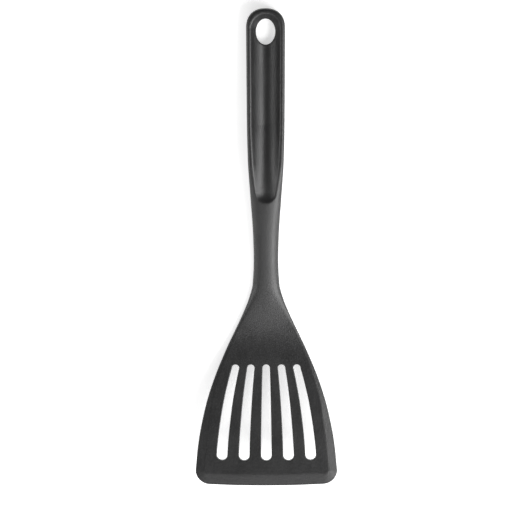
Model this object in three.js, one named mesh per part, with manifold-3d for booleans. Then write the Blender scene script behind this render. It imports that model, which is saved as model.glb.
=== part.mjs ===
// One-piece plastic turner with a slotted blade, a cranked neck and a channelled handle.
// Millimetres, +Z up. It lies face up, on the heel of its blade and the back of its handle's end.
// +Y runs from the blade's tip to the handle's end. The origin is the middle of the underside of
// its bounding box.
//
// The moulding is drawn first in the frame of its mould, where the blade is level:
//   s is the distance from the blade's tip edge along Y, x is across, z is up from the underside.
// A turned group then lays it down. The handle, neck and blade are one moulding, made here as
// three solids that meet face to face on two plane sections.

import * as THREE from 'three';
import { mergeVertices } from 'three/addons/utils/BufferGeometryUtils.js';
import Module from 'manifold-3d';

const wasm = await Module();
wasm.setup();

// ---- driving dimensions ----

const LENGTH = 295.5;
const BLADE_THICKNESS = 3;
const BLADE_CUT = 118;          // where the blade node ends and the neck node starts
const NECK_CUT = 178;           // where the neck node ends and the handle node starts

const CORNER_RADIUS = 8.5;      // the blade's two tip corners
const CORNER_CENTRE = 35.3;     // how far their centres are from the middle
const TIP_BOW = 0.95;           // how far the tip edge bows out between the corners
const TIP_BOW_REACH = 60;       // the bow has died out this far up the blade

const TIP_BEVEL = 7.4;          // width of the bevel along the tip edge

const HEAD_RADIUS = 11.05;      // the handle's round end
const HEAD_SQUARENESS = 2.3;    // 2 would make it a half circle

const SCOOP_START = 181.3;      // the channel in the handle starts here
const SCOOP_END_WALL = 3;       // what is left between the channel and the handle's end

const HOLE_CENTRE = 282;
const HOLE_WIDTH = 11;
const HOLE_LENGTH = 15;

const SLOT_COUNT = 5;
const SLOT_START = 16;
const SLOT_END = 77;
const SLOT_SPREAD = 0.32;       // slot spacing as a share of the blade's half width
const SLOT_SHARE = 0.15;        // slot width as a share of the blade's half width

// ---- profiles along the moulding, as [distance from the tip, value] ----

const HALF_WIDTH = [
  [8.5, 43.8], [26, 42], [50, 37.4], [68, 31.9], [86, 24.6], [104, 16.4], [112, 13],
  [120, 10.1], [129, 8], [145, 7.3], [160, 7.6], [184, 9.05], [208, 10.5], [232, 10.9], [280, 11.05],
];
const SLOPE_DEGREES = [[84, 0], [112, 20], [168, 20], [206, 11], [296, 10]];
const DEPTH = [[84, 3], [98, 3.4], [112, 4.6], [140, 6.2], [172, 7.2], [208, 9.4], [296, 9.8]];
const SIDE_BEVEL = [[14, 5.2], [36, 4.6], [52, 3.2], [74, 2], [104, 1]];
const BEVEL_DROP = [[36, 1.3], [60, 0.8], [92, 0.15], [104, 0]];
const CROWN = [[98, 0], [115, 1.2], [132, 2.2], [182, 2.2], [204, 0.2]];
const TOP_ROUND_WIDTH = [[70, 0.4], [100, 1.5], [128, 4.5], [168, 4.5], [200, 1.7]];
const TOP_ROUND_DROP = [[70, 0.3], [100, 0.7], [128, 1.7], [168, 1.8], [200, 1.7]];
const BACK_ROUND_WIDTH = [[70, 0.4], [112, 2], [132, 4], [176, 6], [210, 11], [290, 11.05]];
const BACK_ROUND_RISE = [[70, 0.25], [112, 0.9], [132, 1.6], [176, 3], [212, 5.4], [296, 5.6]];
const SCOOP_HALF_WIDTH = [[185, 5.8], [192, 6.6], [206, 7.7], [228, 8.5], [280, 8.6]];
const SCOOP_DEPTH = [[186, 3], [202, 4.4], [228, 6.4]];

// A smooth curve through the stations that never overshoots them, level beyond its two ends.
function along(stations, s) {
  const last = stations.length - 1;
  if (s <= stations[0][0]) return stations[0][1];
  if (s >= stations[last][0]) return stations[last][1];
  const rise = (k) => (stations[k + 1][1] - stations[k][1]) / (stations[k + 1][0] - stations[k][0]);
  const tangent = (k) => {
    if (k === 0) return rise(0);
    if (k === last) return rise(last - 1);
    const before = rise(k - 1);
    const after = rise(k);
    return before * after > 0 ? (2 * before * after) / (before + after) : 0;
  };
  let k = 0;
  while (s > stations[k + 1][0]) k += 1;
  const span = stations[k + 1][0] - stations[k][0];
  const t = (s - stations[k][0]) / span;
  const start = stations[k][1] * (1 + 2 * t) * (1 - t) ** 2 + span * tangent(k) * t * (1 - t) ** 2;
  const end = stations[k + 1][1] * t * t * (3 - 2 * t) - span * tangent(k + 1) * t * t * (1 - t);
  return start + end;
}

// ---- the moulding's outline and its two faces ----

const headCentre = LENGTH - HEAD_RADIUS;

function halfWidth(s) {
  if (s < CORNER_RADIUS) {
    return CORNER_CENTRE + Math.sqrt(CORNER_RADIUS ** 2 - (CORNER_RADIUS - s) ** 2);
  }
  if (s > headCentre) {
    const share = Math.min((s - headCentre) / HEAD_RADIUS, 1);
    return HEAD_RADIUS * (1 - share ** HEAD_SQUARENESS) ** (1 / HEAD_SQUARENESS);
  }
  return along(HALF_WIDTH, s);
}

// The distance from a point of the plan to the nearest edge of the outline.
function edgeDistance(s, x) {
  const across = Math.abs(x);
  if (s > headCentre) {
    const powers = across ** HEAD_SQUARENESS + (s - headCentre) ** HEAD_SQUARENESS;
    return HEAD_RADIUS - powers ** (1 / HEAD_SQUARENESS);
  }
  if (s < CORNER_RADIUS && across > CORNER_CENTRE) {
    return CORNER_RADIUS - Math.hypot(across - CORNER_CENTRE, CORNER_RADIUS - s);
  }
  return Math.min(s, halfWidth(s) - across);
}

// The height of the middle of the top face: the slope added up from the blade to this point.
const SLOPE_STEP = 0.5;
const riseTable = [0];
for (let s = SLOPE_STEP / 2; s < LENGTH; s += SLOPE_STEP) {
  const slope = Math.tan(THREE.MathUtils.degToRad(along(SLOPE_DEGREES, s)));
  riseTable.push(riseTable[riseTable.length - 1] + slope * SLOPE_STEP);
}
function topLine(s) {
  const k = Math.min(Math.floor(s / SLOPE_STEP), riseTable.length - 2);
  const t = s / SLOPE_STEP - k;
  return BLADE_THICKNESS + riseTable[k] * (1 - t) + riseTable[k + 1] * t;
}

// How much a rounded edge has fallen away: all of the amount at the edge, none at its full width.
function rounding(distance, width, amount) {
  const inside = Math.min(Math.max(1 - distance / width, 0), 1);
  return amount * (1 - Math.sqrt(1 - inside * inside));
}

// How far across the bevel a point is: nothing at the outline, 1 at the bevel's inner line.
function bevelShare(s, x) {
  const across = Math.abs(x);
  const side = along(SIDE_BEVEL, s);
  if (s < CORNER_RADIUS && across > CORNER_CENTRE) {
    const turn = Math.atan2(across - CORNER_CENTRE, CORNER_RADIUS - s) / (Math.PI / 2);
    return Math.max(edgeDistance(s, x), 0) / THREE.MathUtils.lerp(TIP_BEVEL, side, turn);
  }
  return Math.min(s / TIP_BEVEL, (halfWidth(s) - across) / side);
}

function scoopDepth(s, x) {
  const half = along(SCOOP_HALF_WIDTH, s);
  const firstCentre = SCOOP_START + SCOOP_HALF_WIDTH[0][1];
  const lastCentre = LENGTH - SCOOP_END_WALL - half;
  const beyond = Math.max(firstCentre - s, s - lastCentre, 0);
  const share = Math.hypot(x, beyond) / half;
  return along(SCOOP_DEPTH, s) * Math.max(1 - share * share, 0);
}

function topHeight(s, x) {
  const distance = Math.max(edgeDistance(s, x), 0);
  const bevel = along(BEVEL_DROP, s) * Math.max(1 - bevelShare(s, x), 0);
  const crown = along(CROWN, s) * (x / halfWidth(s)) ** 2;
  const round = rounding(distance, along(TOP_ROUND_WIDTH, s), along(TOP_ROUND_DROP, s));
  return topLine(s) - bevel - crown - round - scoopDepth(s, x);
}

function backHeight(s, x) {
  const distance = Math.max(edgeDistance(s, x), 0);
  const round = rounding(distance, along(BACK_ROUND_WIDTH, s), along(BACK_ROUND_RISE, s));
  return topLine(s) - along(DEPTH, s) + round;
}

// ---- solids ----

const COLUMNS = 20;             // steps across the moulding, closer together near its edges

function bowOffset(s, x) {
  return TIP_BOW * Math.max(1 - s / TIP_BOW_REACH, 0) * (x / CORNER_CENTRE) ** 2;
}

// One section of the moulding: a row of points on the top face, and the row below it on the back.
function section(s) {
  const top = [];
  const back = [];
  for (let k = 0; k <= COLUMNS; k += 1) {
    const x = halfWidth(s) * Math.sin(((2 * k) / COLUMNS - 1) * (Math.PI / 2));
    const y = s + bowOffset(s, x);
    top.push(new THREE.Vector3(x, y, topHeight(s, x)));
    back.push(new THREE.Vector3(x, y, backHeight(s, x)));
  }
  return { top, back };
}

// A closed solid through the sections: two faces, two long edges and two flat ends.
function loft(distances) {
  const points = [];
  const quad = (a, b, c, d) => points.push(a, b, c, a, c, d);
  const sections = distances.map(section);
  for (let i = 0; i + 1 < sections.length; i += 1) {
    const near = sections[i];
    const far = sections[i + 1];
    for (let k = 0; k < COLUMNS; k += 1) {
      quad(near.top[k], near.top[k + 1], far.top[k + 1], far.top[k]);
      quad(near.back[k], far.back[k], far.back[k + 1], near.back[k + 1]);
    }
    quad(near.back[0], near.top[0], far.top[0], far.back[0]);
    quad(near.top[COLUMNS], near.back[COLUMNS], far.back[COLUMNS], far.top[COLUMNS]);
  }
  const first = sections[0];
  const last = sections[sections.length - 1];
  for (let k = 0; k < COLUMNS; k += 1) {
    quad(first.top[k], first.back[k], first.back[k + 1], first.top[k + 1]);
    quad(last.top[k], last.top[k + 1], last.back[k + 1], last.back[k]);
  }
  return new THREE.BufferGeometry().setFromPoints(points);
}

const MERGE_TOLERANCE = 1e-4;
function toManifold(geometry) {
  const bare = geometry.clone();
  bare.deleteAttribute('normal');
  bare.deleteAttribute('uv');
  const merged = mergeVertices(bare, MERGE_TOLERANCE);
  const mesh = new wasm.Mesh({
    numProp: 3,
    vertProperties: new Float32Array(merged.attributes.position.array),
    triVerts: new Uint32Array(merged.index.array),
  });
  return new wasm.Manifold(mesh);
}

function fromManifold(solid) {
  const mesh = solid.getMesh();
  const geometry = new THREE.BufferGeometry();
  geometry.setAttribute('position', new THREE.BufferAttribute(mesh.vertProperties, 3));
  geometry.setIndex(new THREE.BufferAttribute(mesh.triVerts, 1));
  geometry.computeVertexNormals();
  return geometry;
}

// A prism that stands through the moulding, to cut an opening along the mould's pull.
const CUTTER_BOTTOM = -10;
const CUTTER_HEIGHT = 90;
function cutter(shape) {
  const geometry = new THREE.ExtrudeGeometry(shape, { depth: CUTTER_HEIGHT, bevelEnabled: false });
  geometry.translate(0, 0, CUTTER_BOTTOM);
  return toManifold(geometry);
}

// A slot whose sides fan out with the blade's outline and whose two ends are round.
const SLOT_SIDE_STEPS = 6;
const SLOT_END_STEPS = 6;
function slotShape(place) {
  const middle = (s) => place * SLOT_SPREAD * halfWidth(s);
  const half = (s) => (SLOT_SHARE * halfWidth(s)) / 2;
  const low = SLOT_START + half(SLOT_START);
  const high = SLOT_END - half(SLOT_END);
  const points = [];
  const put = (x, s) => points.push(new THREE.Vector2(x, s + bowOffset(s, x)));
  for (let k = 0; k < SLOT_SIDE_STEPS; k += 1) {
    const s = low + ((high - low) * k) / SLOT_SIDE_STEPS;
    put(middle(s) + half(s), s);
  }
  for (let k = 0; k < SLOT_END_STEPS; k += 1) {
    const turn = (Math.PI * k) / SLOT_END_STEPS;
    const reach = half(high);
    put(middle(high) + reach * Math.cos(turn), high + reach * Math.sin(turn));
  }
  for (let k = 0; k < SLOT_SIDE_STEPS; k += 1) {
    const s = high - ((high - low) * k) / SLOT_SIDE_STEPS;
    put(middle(s) - half(s), s);
  }
  for (let k = 0; k < SLOT_END_STEPS; k += 1) {
    const turn = Math.PI + (Math.PI * k) / SLOT_END_STEPS;
    const reach = half(low);
    put(middle(low) + reach * Math.cos(turn), low + reach * Math.sin(turn));
  }
  return new THREE.Shape(points);
}

const HOLE_SIDES = 24;
function holeShape() {
  const outline = new THREE.EllipseCurve(0, HOLE_CENTRE, HOLE_WIDTH / 2, HOLE_LENGTH / 2);
  return new THREE.Shape(outline.getPoints(HOLE_SIDES).slice(0, HOLE_SIDES));
}

// Section distances for each region, closer where the outline or the side profile turns.
const cornerTurns = [0, 18, 36, 54, 72, 90];
const cornerSections = cornerTurns.map((turn) => {
  return CORNER_RADIUS * (1 - Math.cos(THREE.MathUtils.degToRad(turn)));
});
const headTurns = [12, 26, 40, 54, 66, 76, 84];
const headSections = headTurns.map((turn) => {
  return headCentre + HEAD_RADIUS * Math.sin(THREE.MathUtils.degToRad(turn));
});

const bladeSections = [
  ...cornerSections, 16, 26, 38, 50, 60, 70, 77, 84, 88, 92, 96, 100, 104, 108, 113, BLADE_CUT,
];
const neckSections = [BLADE_CUT, 123, 129, 137, 146, 156, 164, 171, NECK_CUT];
const handleSections = [
  NECK_CUT, SCOOP_START, 183, 185, 187.5, 191, 195, 201, 208, 218, 230, 244, 258, 270, 278, headCentre,
  ...headSections,
];

function bladeGeometry() {
  let solid = toManifold(loft(bladeSections));
  for (let k = 0; k < SLOT_COUNT; k += 1) {
    const place = k - (SLOT_COUNT - 1) / 2;
    solid = solid.subtract(cutter(slotShape(place)));
  }
  return fromManifold(solid);
}

function neckGeometry() {
  return fromManifold(toManifold(loft(neckSections)));
}

function handleGeometry() {
  const solid = toManifold(loft(handleSections));
  return fromManifold(solid.subtract(cutter(holeShape())));
}

// ---- laying the moulding down ----

// The slope of the line that the underside rests on, from the blade's heel to the handle's end.
function restingSlope() {
  const low = [...bladeSections, ...neckSections];
  const steepestTo = (end) => {
    const slopes = low.map((s) => (backHeight(end, 0) - backHeight(s, 0)) / (end - s));
    return Math.max(...slopes);
  };
  return Math.min(...[headCentre, ...headSections].map(steepestTo));
}

const plastic = new THREE.MeshStandardMaterial({ color: 0x2c2c2d, roughness: 0.48, metalness: 0 });

function region(name, geometry) {
  const mesh = new THREE.Mesh(geometry, plastic.clone());
  mesh.name = name;
  return mesh;
}

const moulding = new THREE.Group();
moulding.add(region('blade', bladeGeometry()));
moulding.add(region('neck', neckGeometry()));
moulding.add(region('handle', handleGeometry()));
moulding.rotation.x = -Math.atan(restingSlope());

const turner = new THREE.Group();
turner.add(moulding);
turner.updateMatrixWorld(true);
const extent = new THREE.Box3().setFromObject(turner, true);
const middle = extent.getCenter(new THREE.Vector3());
moulding.position.set(-middle.x, -middle.y, -extent.min.z);

export default turner;
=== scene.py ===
"""A one-piece plastic turner with a slotted blade, lying on a pale floor.

The fine surface of the moulding is worked out in the frame of its mould, where the blade is level:
s is the distance from the blade's tip edge, x is across and z is up from the underside, all in
millimetres. It is then laid down in metres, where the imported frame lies.
"""

import math
from functools import partial

import bpy
import numpy as np
from mathutils import Matrix, Vector
from mathutils.geometry import delaunay_2d_cdt


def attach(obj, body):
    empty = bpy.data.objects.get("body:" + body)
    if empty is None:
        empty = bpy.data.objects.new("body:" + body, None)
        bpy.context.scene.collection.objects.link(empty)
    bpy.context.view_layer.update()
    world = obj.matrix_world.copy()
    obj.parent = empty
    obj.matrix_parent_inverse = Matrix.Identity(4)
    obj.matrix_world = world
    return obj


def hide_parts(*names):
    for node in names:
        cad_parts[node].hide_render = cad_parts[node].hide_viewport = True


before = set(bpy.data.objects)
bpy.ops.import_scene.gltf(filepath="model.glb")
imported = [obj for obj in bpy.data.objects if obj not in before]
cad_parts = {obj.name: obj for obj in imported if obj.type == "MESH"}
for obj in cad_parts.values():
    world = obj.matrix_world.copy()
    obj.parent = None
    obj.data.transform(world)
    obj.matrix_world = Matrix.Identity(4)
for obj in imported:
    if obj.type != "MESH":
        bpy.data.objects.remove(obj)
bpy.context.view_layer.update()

# ---- driving dimensions, in millimetres, as in the CAD model ----

LENGTH = 295.5
BLADE_THICKNESS = 3
BLADE_CUT = 118  # the blade ends and the neck starts here
NECK_CUT = 178  # the neck ends and the handle starts here

CORNER_RADIUS = 8.5
CORNER_CENTRE = 35.3
TIP_BOW = 0.95
TIP_BOW_REACH = 60

TIP_BEVEL = 7.4
BEVEL_SOFTNESS = 0.07  # how softly the bevel's inner line is rounded, as a share of its width

HEAD_RADIUS = 11.05
HEAD_SQUARENESS = 2.3

SCOOP_START = 181.3
SCOOP_END_WALL = 3
SCOOP_LIP = 0.12  # how softly the channel's rim rolls over, as a share of its depth
SCOOP_LIP_REACH = 8  # the soft rim has died out this far before the channel

HOLE_CENTRE = 282
HOLE_WIDTH = 11
HOLE_LENGTH = 15
HOLE_ROUND = 0.7  # how far the edge of the hole is rounded

SLOT_PLACES = (-2, -1, 0, 1, 2)
SLOT_START = 16
SLOT_END = 77
SLOT_SPREAD = 0.32
SLOT_SHARE = 0.15
SLOT_ROUND = 0.55  # how far the edges of the slots are rounded
BACK_EASE = 0.5  # how much the openings' edges are rounded on the back, as a share of the top's

# ---- profiles along the moulding, as (distance from the tip, value) ----

HALF_WIDTH = (
    (8.5, 43.8), (26, 42), (50, 37.4), (68, 31.9), (86, 24.6), (104, 16.4), (112, 13),
    (120, 10.1), (129, 8), (145, 7.3), (160, 7.6), (184, 9.05), (208, 10.5), (232, 10.9), (280, 11.05),
)
SLOPE_DEGREES = ((84, 0), (112, 20), (168, 20), (206, 11), (296, 10))
DEPTH = ((84, 3), (98, 3.4), (112, 4.6), (140, 6.2), (172, 7.2), (208, 9.4), (296, 9.8))
SIDE_BEVEL = ((14, 5.2), (36, 4.6), (52, 3.2), (74, 2), (104, 1))
BEVEL_DROP = ((36, 1.3), (60, 0.8), (92, 0.15), (104, 0))
CROWN = ((98, 0), (115, 1.2), (132, 2.2), (182, 2.2), (204, 0.2))
TOP_ROUND_WIDTH = ((70, 0.4), (100, 1.5), (128, 4.5), (168, 4.5), (200, 1.7))
TOP_ROUND_DROP = ((70, 0.3), (100, 0.7), (128, 1.7), (168, 1.8), (200, 1.7))
BACK_ROUND_WIDTH = ((70, 0.4), (112, 2), (132, 4), (176, 6), (210, 11), (290, 11.05))
BACK_ROUND_RISE = ((70, 0.25), (112, 0.9), (132, 1.6), (176, 3), (212, 5.4), (296, 5.6))
SCOOP_HALF_WIDTH = ((185, 5.8), (192, 6.6), (206, 7.7), (228, 8.5), (280, 8.6))
SCOOP_DEPTH = ((186, 3), (202, 4.4), (228, 6.4))


def along(stations, s):
    """A smooth curve through the stations that never overshoots them, level beyond its ends."""
    places, values = np.array(stations, float).T
    spans = np.diff(places)
    rises = np.diff(values) / spans
    before, after = rises[:-1], rises[1:]
    turning = before * after > 0
    inner = np.where(turning, 2 * before * after / np.where(turning, before + after, 1), 0)
    tangents = np.concatenate(([rises[0]], inner, [rises[-1]]))
    s = np.clip(s, places[0], places[-1])
    k = np.clip(np.searchsorted(places, s) - 1, 0, len(spans) - 1)
    t = (s - places[k]) / spans[k]
    start = values[k] * (1 + 2 * t) * (1 - t) ** 2 + spans[k] * tangents[k] * t * (1 - t) ** 2
    end = values[k + 1] * t * t * (3 - 2 * t) - spans[k] * tangents[k + 1] * t * t * (1 - t)
    return start + end


# ---- the plan: the outline, the slots and the hole ----

HEAD_CENTRE = LENGTH - HEAD_RADIUS
TINY = 1e-6  # below this a length counts as nothing


def half_width(s):
    corner = np.sqrt(np.maximum(CORNER_RADIUS**2 - (CORNER_RADIUS - s) ** 2, 0))
    head_share = np.clip((s - HEAD_CENTRE) / HEAD_RADIUS, 0, 1)
    head = HEAD_RADIUS * (1 - head_share**HEAD_SQUARENESS) ** (1 / HEAD_SQUARENESS)
    width = np.where(s < CORNER_RADIUS, CORNER_CENTRE + corner, along(HALF_WIDTH, s))
    return np.where(s > HEAD_CENTRE, head, width)


LEAN_PLACES = np.arange(0, LENGTH, 1.0)
LEANS = np.gradient(along(HALF_WIDTH, LEAN_PLACES), LEAN_PLACES)


def lean_stretch(s):
    """How much longer a step across the moulding is than the same step square to its side."""
    return np.sqrt(1 + np.interp(s, LEAN_PLACES, LEANS) ** 2)


def edge_distance(s, x):
    """The distance from points of the plan to the nearest edge of the outline."""
    across = np.abs(x)
    side = (half_width(s) - across) / lean_stretch(s)
    inner = CORNER_RADIUS - np.hypot(across - CORNER_CENTRE, CORNER_RADIUS - s)
    in_corner = (s < CORNER_RADIUS) & (across > CORNER_CENTRE)
    distance = np.where(in_corner, inner, np.minimum(np.where(s < CORNER_RADIUS, s, side), s))
    beyond = np.maximum(s - HEAD_CENTRE, 0)
    reach = (across**HEAD_SQUARENESS + beyond**HEAD_SQUARENESS) ** (1 / HEAD_SQUARENESS)
    return np.where(s > HEAD_CENTRE, HEAD_RADIUS - reach, distance)


def slot_middle(place, s):
    return place * SLOT_SPREAD * half_width(s)


def slot_half(s):
    return SLOT_SHARE * half_width(s) / 2


SLOT_LOW = SLOT_START + float(slot_half(np.float64(SLOT_START)))
SLOT_HIGH = SLOT_END - float(slot_half(np.float64(SLOT_END)))


def slot_distance(place, s, x):
    """The distance from points of the plan to one slot: below zero inside it."""
    held = np.clip(s, SLOT_LOW, SLOT_HIGH)
    return np.hypot(x - slot_middle(place, held), s - held) - slot_half(held)


def hole_distance(s, x):
    """The distance to the hanging hole, from how far out a point is on the ellipse's own scale."""
    scaled = np.hypot(x / (HOLE_WIDTH / 2), (s - HOLE_CENTRE) / (HOLE_LENGTH / 2))
    reach = np.hypot(x, s - HOLE_CENTRE)
    return (scaled - 1) * reach / np.maximum(scaled, TINY)


# ---- the two faces ----

RISE_STEP = 0.25
RISE_PLACES = np.arange(0, LENGTH + 1, RISE_STEP)
RISE_SLOPES = np.tan(np.radians(along(SLOPE_DEGREES, RISE_PLACES + RISE_STEP / 2)))
RISES = np.concatenate(([0], np.cumsum(RISE_SLOPES[:-1] * RISE_STEP)))


def top_line(s):
    return BLADE_THICKNESS + np.interp(s, RISE_PLACES, RISES)


def rounding(distance, width, amount):
    """How far a rounded edge has fallen: all of the amount at the edge, none at its full width."""
    inside = np.clip(1 - distance / width, 0, 1)
    return amount * (1 - np.sqrt(1 - inside * inside))


def soft_positive(value, softness):
    """The value where it is above zero, with the corner at zero rounded off."""
    return (value + np.sqrt(value * value + softness * softness)) / 2


def bevel_share(s, x):
    """How far across the bevel a point is: nothing at the outline, 1 at the bevel's inner line."""
    across = np.abs(x)
    side = along(SIDE_BEVEL, s)
    straight = np.minimum(s / TIP_BEVEL, (half_width(s) - across) / lean_stretch(s) / side)
    turn = np.arctan2(across - CORNER_CENTRE, CORNER_RADIUS - s) / (math.pi / 2)
    corner_width = TIP_BEVEL + (side - TIP_BEVEL) * np.clip(turn, 0, 1)
    in_corner = (s < CORNER_RADIUS) & (across > CORNER_CENTRE)
    return np.where(in_corner, np.maximum(edge_distance(s, x), 0) / corner_width, straight)


def scoop_depth(s, x):
    half = along(SCOOP_HALF_WIDTH, s)
    first = SCOOP_START + SCOOP_HALF_WIDTH[0][1]
    last = LENGTH - SCOOP_END_WALL - half
    beyond = np.maximum(np.maximum(first - s, s - last), 0)
    share = np.hypot(x, beyond) / half
    return along(SCOOP_DEPTH, s) * soft_positive(1 - share * share, SCOOP_LIP)


def openings_rounding(s, x):
    """The fall of both faces towards the slots and the hole, whose edges are eased."""
    fall = rounding(np.maximum(hole_distance(s, x), 0), HOLE_ROUND, HOLE_ROUND)
    for place in SLOT_PLACES:
        fall = fall + rounding(np.maximum(slot_distance(place, s, x), 0), SLOT_ROUND, SLOT_ROUND)
    return fall


def top_height(s, x):
    distance = np.maximum(edge_distance(s, x), 0)
    bevel = along(BEVEL_DROP, s) * soft_positive(1 - bevel_share(s, x), BEVEL_SOFTNESS)
    crown = along(CROWN, s) * (x / np.maximum(half_width(s), TINY)) ** 2
    round_edge = rounding(distance, along(TOP_ROUND_WIDTH, s), along(TOP_ROUND_DROP, s))
    scoop = np.where(s > SCOOP_START - SCOOP_LIP_REACH, scoop_depth(s, x), 0)
    return top_line(s) - bevel - crown - round_edge - scoop - openings_rounding(s, x)


def back_height(s, x):
    distance = np.maximum(edge_distance(s, x), 0)
    round_edge = rounding(distance, along(BACK_ROUND_WIDTH, s), along(BACK_ROUND_RISE, s))
    ease = BACK_EASE * openings_rounding(s, x)
    return top_line(s) - along(DEPTH, s) + round_edge + ease


# ---- the fine surface: a triangulated plan, raised to the two faces ----

EDGE_RINGS = (0, 0.015, 0.05, 0.11, 0.2, 0.32, 0.48, 0.7, 1, 1.4)
SLOT_RINGS = (0, 0.012, 0.05, 0.12, 0.22, 0.36, 0.55, 0.8)
HOLE_RINGS = (0, 0.015, 0.06, 0.15, 0.28, 0.46, 0.7, 1)
EDGE_SPACING = 0.7
GRID_SPACING = 0.75
GRID_CLEARANCE = 0.35
ROW_SPACING = GRID_SPACING * math.sqrt(0.75)  # the height of a triangle with even sides
ARC_STEPS = 26  # points round a tip corner, half the head or one end of a slot
INSIDE_LOOPS = 1  # the triangulation's output type that keeps only what lies inside the loops


def side_x(s, offset):
    return half_width(s) - offset * lean_stretch(s)


def right_edge(start, end, offset):
    """The outline's right half between two distances, moved inwards by the offset."""
    parts = []
    side_start, side_end = start, end
    if start == 0:
        tip = np.linspace(0, CORNER_CENTRE, int(CORNER_CENTRE / EDGE_SPACING))
        parts.append(np.column_stack((tip, np.full(len(tip), float(offset)))))
        turns = np.linspace(0, math.pi / 2, ARC_STEPS)[1:-1]
        radius = CORNER_RADIUS - offset
        corner = (CORNER_CENTRE + radius * np.sin(turns), CORNER_RADIUS - radius * np.cos(turns))
        parts.append(np.column_stack(corner))
        side_start = CORNER_RADIUS
    if end == LENGTH:
        side_end = HEAD_CENTRE
    count = int((side_end - side_start) / EDGE_SPACING)
    side = np.linspace(side_start, side_end, count)
    parts.append(np.column_stack((side_x(side, offset), side)))
    if end == LENGTH:
        turns = np.linspace(0, math.pi / 2, ARC_STEPS)[1:]
        radius = HEAD_RADIUS - offset
        across = radius * np.maximum(np.cos(turns), 0) ** (2 / HEAD_SQUARENESS)
        beyond = radius * np.sin(turns) ** (2 / HEAD_SQUARENESS)
        parts.append(np.column_stack((across, HEAD_CENTRE + beyond)))
    edge = np.concatenate(parts)
    edge[np.abs(edge[:, 0]) < TINY, 0] = 0
    return edge


def mirrored(points):
    """The same points on the left, in the opposite order, without those on the middle line."""
    left = points[::-1] * (-1, 1)
    return left[left[:, 0] != 0]


def cut_row(s):
    """Points across a plane section, from right to left, without its two outermost ones."""
    outer = side_x(np.full(len(EDGE_RINGS) - 1, float(s)), np.array(EDGE_RINGS[1:]))
    count = int(2 * outer[-1] / GRID_SPACING)
    inner = np.linspace(outer[-1], -outer[-1], count)[1:-1]
    row = np.concatenate((outer, inner, -outer[::-1]))
    return np.column_stack((row, np.full(len(row), float(s))))


def slot_ring(place, offset):
    """A closed ring round one slot, the offset away from its edge."""
    side = np.linspace(SLOT_LOW, SLOT_HIGH, int((SLOT_HIGH - SLOT_LOW) / EDGE_SPACING))
    turns = np.linspace(0, math.pi, ARC_STEPS)[1:-1]
    reach_high = slot_half(np.float64(SLOT_HIGH)) + offset
    reach_low = slot_half(np.float64(SLOT_LOW)) + offset
    right = (slot_middle(place, side) + slot_half(side) + offset, side)
    top = (
        slot_middle(place, np.float64(SLOT_HIGH)) + reach_high * np.cos(turns),
        SLOT_HIGH + reach_high * np.sin(turns),
    )
    left = (slot_middle(place, side[::-1]) - slot_half(side[::-1]) - offset, side[::-1])
    bottom = (
        slot_middle(place, np.float64(SLOT_LOW)) - reach_low * np.cos(turns),
        SLOT_LOW - reach_low * np.sin(turns),
    )
    return np.concatenate([np.column_stack(part) for part in (right, top, left, bottom)])


def hole_ring(offset):
    turns = np.linspace(0, 2 * math.pi, 4 * ARC_STEPS, endpoint=False)
    across = (HOLE_WIDTH / 2 + offset) * np.cos(turns)
    return np.column_stack((across, HOLE_CENTRE + (HOLE_LENGTH / 2 + offset) * np.sin(turns)))


def grid_points(start, end, openings):
    """An even triangular grid over a region, kept clear of its edges and openings."""
    rows = np.arange(start + GRID_CLEARANCE, end - GRID_CLEARANCE, ROW_SPACING)
    reach = float(np.max(half_width(rows)))
    columns = np.arange(-reach, reach, GRID_SPACING)
    x, s = np.meshgrid(columns, rows)
    x = x + np.where(np.arange(len(rows)) % 2, GRID_SPACING / 2, 0)[:, None]
    x, s = x.ravel(), s.ravel()
    keep = edge_distance(s, x) > EDGE_RINGS[-1] + GRID_CLEARANCE
    for distance, rings in openings:
        keep &= distance(s, x) > rings[-1] + GRID_CLEARANCE
    return np.column_stack((x, s))[keep]


def triangulate(start, end, openings, rings):
    """The plan of one region as points and triangles, with its openings left out."""
    right = right_edge(start, end, 0)
    loop = [right]
    if end != LENGTH:
        loop.append(cut_row(end))
    loop.append(mirrored(right))
    if start != 0:
        loop.append(cut_row(start)[::-1])
    loops = [np.concatenate(loop)] + [ring[0] for ring in rings]
    points = list(loops)
    faces = []
    first = 0
    for one in loops:
        faces.append(list(range(first, first + len(one))))
        first += len(one)
    for offset in EDGE_RINGS[1:]:
        edge = right_edge(start, end, offset)
        edge = edge[((edge[:, 1] != start) | (start == 0)) & (edge[:, 1] != end)]
        points += [edge, mirrored(edge)]
    for ring in rings:
        points += ring[1:]
    points.append(grid_points(start, end, openings))
    points = np.concatenate(points)
    result = delaunay_2d_cdt([Vector(p) for p in points], [], faces, INSIDE_LOOPS, TINY, True)
    plan, _, triangles, _, _, sources = result
    kept = [face for face, source in zip(triangles, sources) if list(source) == [0]]
    return np.array([tuple(p) for p in plan]), np.array(kept)


# ---- raising the plan ----

PARTING_LEVELS = (0.3, 0.44, 0.5, 0.56, 0.7)  # rows of points down the side wall, as shares of it
PARTING_RIDGE = (0, 0.01, 0.05, 0.01, 0)  # how far each row stands out, in millimetres
PARTING_CLEARANCE = 1  # the walls of the slots and the hole, nearer than this to one, have no ridge
NORMAL_STEP = 0.004
CUT_DECIMALS = 6  # a point lies on a plane section when its distance agrees to this many decimals
MILLIMETRE = 0.001


def bowed(s, x):
    """The distance along Y of a plan point, with the tip edge's bow."""
    return s + TIP_BOW * np.maximum(1 - s / TIP_BOW_REACH, 0) * (x / CORNER_CENTRE) ** 2


def surface(height, s, x):
    return np.column_stack((x, bowed(s, x), height(s, x)))


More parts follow.
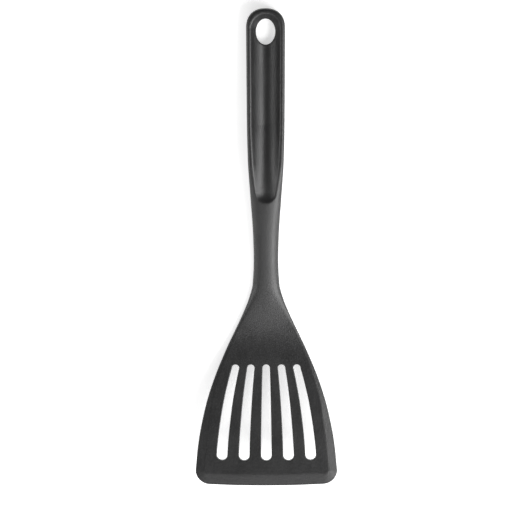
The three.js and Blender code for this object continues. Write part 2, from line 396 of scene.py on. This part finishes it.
def surface_normals(height, s, x, up):
    step = NORMAL_STEP
    across = surface(height, s, x + step) - surface(height, s, x - step)
    lengthways = surface(height, s + step, x) - surface(height, s - step, x)
    normal = np.cross(across, lengthways) * up
    return normal / np.linalg.norm(normal, axis=1)[:, None]


def opening_distance(s, x):
    """The distance to the nearest slot or to the hole."""
    distance = hole_distance(s, x)
    for place in SLOT_PLACES:
        distance = np.minimum(distance, slot_distance(place, s, x))
    return distance


def wall_normals(s, x):
    """Level normals that point out of the material, for points on an edge of the plan."""
    step = NORMAL_STEP

    def slope(distance):
        across = distance(s, x + step) - distance(s, x - step)
        lengthways = distance(s + step, x) - distance(s - step, x)
        out = -np.column_stack((across, lengthways, np.zeros(len(s))))
        return out / np.maximum(np.linalg.norm(out, axis=1), TINY)[:, None]

    near_opening = opening_distance(s, x) < edge_distance(s, x)
    return np.where(near_opening[:, None], slope(opening_distance), slope(edge_distance))


def open_edges(triangles):
    """The directed edges that only one triangle of the plan has."""
    edges = np.concatenate((triangles[:, [0, 1]], triangles[:, [1, 2]], triangles[:, [2, 0]]))
    size = int(triangles.max()) + 1
    forward = edges[:, 0] * size + edges[:, 1]
    backward = edges[:, 1] * size + edges[:, 0]
    return edges[~np.isin(forward, backward)]


def raised(plan, triangles, cuts):
    """A closed solid from one region's plan: points, faces, and a normal for each face corner."""
    x, s = plan[:, 0], plan[:, 1]
    corners = plan[triangles]
    a, b, c = corners[:, 0], corners[:, 1], corners[:, 2]
    turn = (b[:, 0] - a[:, 0]) * (c[:, 1] - a[:, 1]) - (b[:, 1] - a[:, 1]) * (c[:, 0] - a[:, 0])
    triangles = np.where(turn[:, None] > 0, triangles, triangles[:, ::-1])

    edges = open_edges(triangles)
    rim = np.unique(edges)
    rim_row = np.full(len(plan), -1)
    rim_row[rim] = np.arange(len(rim))
    outward = wall_normals(s[rim], x[rim])

    top = surface(top_height, s, x)
    back = surface(back_height, s, x)
    top_normals = surface_normals(top_height, s, x, 1)
    back_normals = surface_normals(back_height, s, x, -1)
    on_cut = np.isin(s[rim], cuts)
    inside_cut = on_cut & (edge_distance(s[rim], x[rim]) > EDGE_RINGS[1] / 2)
    walls = rim[~inside_cut]
    top_normals[walls] = outward[~inside_cut]
    back_normals[walls] = outward[~inside_cut]

    points = [top, back]
    normals = [top_normals, back_normals]
    ridge = ~inside_cut & (opening_distance(s[rim], x[rim]) > PARTING_CLEARANCE)
    for level, height in zip(PARTING_LEVELS, PARTING_RIDGE):
        row = top[rim] * (1 - level) + back[rim] * level
        row = row + outward * (height * ridge)[:, None]
        points.append(row)
        normals.append(outward)
    points = np.concatenate(points)
    normals = np.concatenate(normals)

    count = len(plan)
    faces = [triangles, triangles[:, ::-1] + count]
    levels = [rim]
    levels += [2 * count + k * len(rim) + np.arange(len(rim)) for k in range(len(PARTING_LEVELS))]
    levels.append(rim + count)
    first, second = rim_row[edges[:, 0]], rim_row[edges[:, 1]]
    for upper, lower in zip(levels, levels[1:]):
        quad = np.column_stack((upper[second], upper[first], lower[first], lower[second]))
        faces += [quad[:, [0, 1, 2]], quad[:, [0, 2, 3]]]
    faces = np.concatenate(faces)

    corner_normals = normals[faces]
    end_caps = np.isin(np.round(points[faces][:, :, 1], CUT_DECIMALS), cuts).all(axis=1)
    ends = np.sign(points[faces][:, :, 1].mean(axis=1) - s.mean())
    corner_normals[end_caps] = np.column_stack((0 * ends, ends, 0 * ends))[end_caps][:, None, :]
    return points, faces, corner_normals


# ---- laying it down ----

HEEL_FROM = 80  # the underside touches down somewhere between here and the neck's end
END_FROM = 272  # and again between here and the handle's end
REST_STEP = 0.5


def resting_tilt():
    """The lean of the line from the blade's heel to the handle's end that the back rests on."""
    low = np.arange(HEEL_FROM, NECK_CUT, REST_STEP)
    ends = np.arange(END_FROM, LENGTH, REST_STEP)
    heights = back_height(ends, 0 * ends)[:, None] - back_height(low, 0 * low)[None, :]
    slopes = heights / (ends[:, None] - low[None, :])
    return math.atan(slopes.max(axis=1).min())


TILT = resting_tilt()


def laid(vectors):
    """Directions or places of the mould's frame, turned to how the moulding lies."""
    turn = np.array(Matrix.Rotation(-TILT, 3, "X"))
    return vectors @ turn.T


def regions():
    """Each region's name, its two ends, and the openings in it with the rings round each."""
    slots = [(partial(slot_distance, place), SLOT_RINGS) for place in SLOT_PLACES]
    slot_rings = [[slot_ring(place, offset) for offset in SLOT_RINGS] for place in SLOT_PLACES]
    hole_rings = [[hole_ring(offset) for offset in HOLE_RINGS]]
    return (
        ("blade", 0, BLADE_CUT, slots, slot_rings),
        ("neck", BLADE_CUT, NECK_CUT, [], []),
        ("handle", NECK_CUT, LENGTH, [(hole_distance, HOLE_RINGS)], hole_rings),
    )


def make_moulding(material):
    made = []
    for name, start, end, openings, rings in regions():
        plan, triangles = triangulate(start, end, openings, rings)
        points, faces, corner_normals = raised(plan, triangles, (BLADE_CUT, NECK_CUT))
        made.append((name, laid(points), faces, laid(corner_normals)))
    lows = np.min([points.min(axis=0) for _, points, _, _ in made], axis=0)
    highs = np.max([points.max(axis=0) for _, points, _, _ in made], axis=0)
    shift = np.array((0, (lows[1] + highs[1]) / 2, lows[2]))
    for name, points, faces, corner_normals in made:
        mesh = bpy.data.meshes.new(name + "_skin")
        mesh.from_pydata(((points - shift) * MILLIMETRE).tolist(), [], faces.tolist())
        mesh.shade_smooth()
        mesh.normals_split_custom_set(corner_normals.reshape(-1, 3).tolist())
        mesh.materials.append(material)
        piece = bpy.data.objects.new(name + "_skin", mesh)
        bpy.context.scene.collection.objects.link(piece)
        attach(piece, "root")
        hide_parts(name)
    return shift


# ---- materials ----

# The scales of the patterns in the plastic, in cells to a metre.
CLOUD_SCALE = 45  # broad, faint changes of tone and gloss
FLOW_SCALE = 420  # marks drawn out along the moulding, where the plastic flowed
FLOW_STRETCH = (1, 0.08, 1)
SPECKLE_SCALE = 1400
PIT_SCALE = 2300  # the pits of the eroded grain
MOTTLE_SCALE = 650
WAVE_SCALE = 70  # the faint unevenness of a moulded face

# What a noise's middle range is spread over: the share of the tone, or the change in roughness.
NOISE_RANGE = (0.3, 0.7)
CLOUD_TONE = (0, 0.35)
SPECKLE_TONE = (0, 0.65)
CLOUD_ROUGHNESS = (0.36, 0.42)
FLOW_ROUGHNESS = (-0.03, 0.03)
SPECKLE_ROUGHNESS = (-0.05, 0.05)

# The two ends of the plastic's tone, each with its place on the ramp.
DARK_TONE = (0.25, (0.008, 0.008, 0.0082, 1))
PALE_TONE = (0.75, (0.014, 0.014, 0.0144, 1))
PLASTIC_IOR = 1.53

# Each relief's strength and its height in metres.
GRAIN_RELIEF = (0.6, 0.00008)
MOTTLE_RELIEF = (0.8, 0.0001)
WAVE_RELIEF = (0.25, 0.0004)

FLOOR_COLOUR = (0.9, 0.9, 0.9, 1)
FLOOR_ROUGHNESS = 0.9
FLOOR_GLOW = 0.52
WHITE = (1, 1, 1, 1)


def new_material(name):
    material = bpy.data.materials.new(name)
    material.use_nodes = True
    nodes = material.node_tree.nodes
    return material, nodes, material.node_tree.links, nodes["Principled BSDF"]


def moulded_plastic():
    """Dark plastic with a fine eroded grain, faint flow marks and a satin sheen."""
    material, nodes, links, shader = new_material("dark_plastic")
    place = nodes.new("ShaderNodeTexCoord")

    def noise(scale, detail, vector=None):
        node = nodes.new("ShaderNodeTexNoise")
        node.inputs["Scale"].default_value = scale
        node.inputs["Detail"].default_value = detail
        links.new(vector or place.outputs["Object"], node.inputs["Vector"])
        return node.outputs["Fac"]

    def mapped(value, span):
        node = nodes.new("ShaderNodeMapRange")
        node.inputs["From Min"].default_value, node.inputs["From Max"].default_value = NOISE_RANGE
        node.inputs["To Min"].default_value, node.inputs["To Max"].default_value = span
        links.new(value, node.inputs["Value"])
        return node.outputs["Result"]

    def added(first, second):
        node = nodes.new("ShaderNodeMath")
        node.operation = "ADD"
        links.new(first, node.inputs[0])
        links.new(second, node.inputs[1])
        return node.outputs["Value"]

    def bumped(height, relief, below=None):
        node = nodes.new("ShaderNodeBump")
        node.inputs["Strength"].default_value, node.inputs["Distance"].default_value = relief
        links.new(height, node.inputs["Height"])
        if below:
            links.new(below, node.inputs["Normal"])
        return node.outputs["Normal"]

    stretch = nodes.new("ShaderNodeMapping")
    stretch.inputs["Scale"].default_value = FLOW_STRETCH
    links.new(place.outputs["Object"], stretch.inputs["Vector"])
    pits = nodes.new("ShaderNodeTexVoronoi")
    pits.inputs["Scale"].default_value = PIT_SCALE
    links.new(place.outputs["Object"], pits.inputs["Vector"])
    clouds = noise(CLOUD_SCALE, detail=3)
    speckle = noise(SPECKLE_SCALE, detail=2)
    flow = noise(FLOW_SCALE, detail=3, vector=stretch.outputs["Vector"])

    tone = nodes.new("ShaderNodeValToRGB")
    for element, (position, colour) in zip(tone.color_ramp.elements, (DARK_TONE, PALE_TONE)):
        element.position = position
        element.color = colour
    links.new(added(mapped(clouds, CLOUD_TONE), mapped(speckle, SPECKLE_TONE)), tone.inputs["Fac"])
    links.new(tone.outputs["Color"], shader.inputs["Base Color"])

    gloss = added(mapped(clouds, CLOUD_ROUGHNESS), mapped(flow, FLOW_ROUGHNESS))
    gloss = added(gloss, mapped(speckle, SPECKLE_ROUGHNESS))
    links.new(gloss, shader.inputs["Roughness"])

    grain = bumped(added(pits.outputs["Distance"], speckle), GRAIN_RELIEF)
    mottle = bumped(noise(MOTTLE_SCALE, detail=2), MOTTLE_RELIEF, grain)
    waves = bumped(noise(WAVE_SCALE, detail=1), WAVE_RELIEF, mottle)
    links.new(waves, shader.inputs["Normal"])

    shader.inputs["IOR"].default_value = PLASTIC_IOR
    return material


def floor_material():
    material, _, _, shader = new_material("pale_floor")
    shader.inputs["Base Color"].default_value = FLOOR_COLOUR
    shader.inputs["Roughness"].default_value = FLOOR_ROUGHNESS
    shader.inputs["Emission Color"].default_value = WHITE
    shader.inputs["Emission Strength"].default_value = FLOOR_GLOW
    return material


# ---- floor, light and camera, in metres ----

FLOOR_SIZE = 12


def make_floor():
    bpy.ops.mesh.primitive_plane_add(size=FLOOR_SIZE)
    floor = bpy.context.object
    floor.name = "floor"
    floor.data.materials.append(floor_material())


def softbox(name, place, size, power):
    light = bpy.data.lights.new(name, "AREA")
    light.shape = "RECTANGLE"
    light.size, light.size_y = size
    light.energy = power
    holder = bpy.data.objects.new(name, light)
    holder.location = place
    holder.rotation_euler = (-place).to_track_quat("-Z", "Y").to_euler()
    bpy.context.scene.collection.objects.link(holder)


LIGHT_DISTANCE = 1.0  # every softbox is this far from the object's middle and faces it

# Each softbox: its compass angle from +X towards +Y and its height above the floor, in degrees, then
# its width and height in metres and its radiance.
SOFTBOXES = (
    ("right", -26, 36, (0.7, 0.8), 6.4),
    ("front_right", -58, 38, (0.5, 0.5), 2.6),
    ("left", 190, 25, (0.7, 0.35), 4.0),
    ("front_left", -130, 42, (0.6, 0.4), 0.8),
    ("front", -90, 45, (0.7, 0.4), 2.3),
)
WORLD_LIGHT = 0.25


def make_lights():
    for name, compass, height, size, radiance in SOFTBOXES:
        around, up = math.radians(compass), math.radians(height)
        towards = Vector((math.cos(up) * math.cos(around), math.cos(up) * math.sin(around), math.sin(up)))
        power = math.pi * size[0] * size[1] * radiance
        softbox(name, towards * LIGHT_DISTANCE, size, power)
    world = bpy.data.worlds.new("studio")
    world.use_nodes = True
    background = world.node_tree.nodes["Background"]
    background.inputs["Color"].default_value = WHITE
    background.inputs["Strength"].default_value = WORLD_LIGHT
    bpy.context.scene.world = world


CAMERA_LEAN = math.radians(10)  # from the blade's own normal, towards the handle's end
CAMERA_ROLL = math.radians(-0.12)
CAMERA_DISTANCE = 1.15
CAMERA_REACH = 20  # nothing farther than this is seen
CAMERA_LENS = 130.8  # the focal length, in millimetres
CAMERA_AIM = (-0.6, 142, 20)  # the middle of the view, in millimetres in the mould's frame


def make_camera(shift):
    aim = (laid(np.array([CAMERA_AIM], float))[0] - shift) * MILLIMETRE
    lean = CAMERA_LEAN + TILT
    towards = Vector((0, math.sin(lean), math.cos(lean)))
    up = Vector((0, math.cos(lean), -math.sin(lean)))
    level = Matrix((Vector((1, 0, 0)), up, towards)).transposed()
    turn = level @ Matrix.Rotation(CAMERA_ROLL, 3, "Z")
    camera = bpy.data.cameras.new("camera")
    camera.lens = CAMERA_LENS
    camera.clip_end = CAMERA_REACH
    holder = bpy.data.objects.new("camera", camera)
    holder.matrix_world = Matrix.Translation(Vector(aim) + towards * CAMERA_DISTANCE) @ turn.to_4x4()
    bpy.context.scene.collection.objects.link(holder)
    bpy.context.scene.camera = holder


bpy.context.scene.view_settings.view_transform = "Standard"
shift = make_moulding(moulded_plastic())
make_floor()
make_lights()
make_camera(shift)
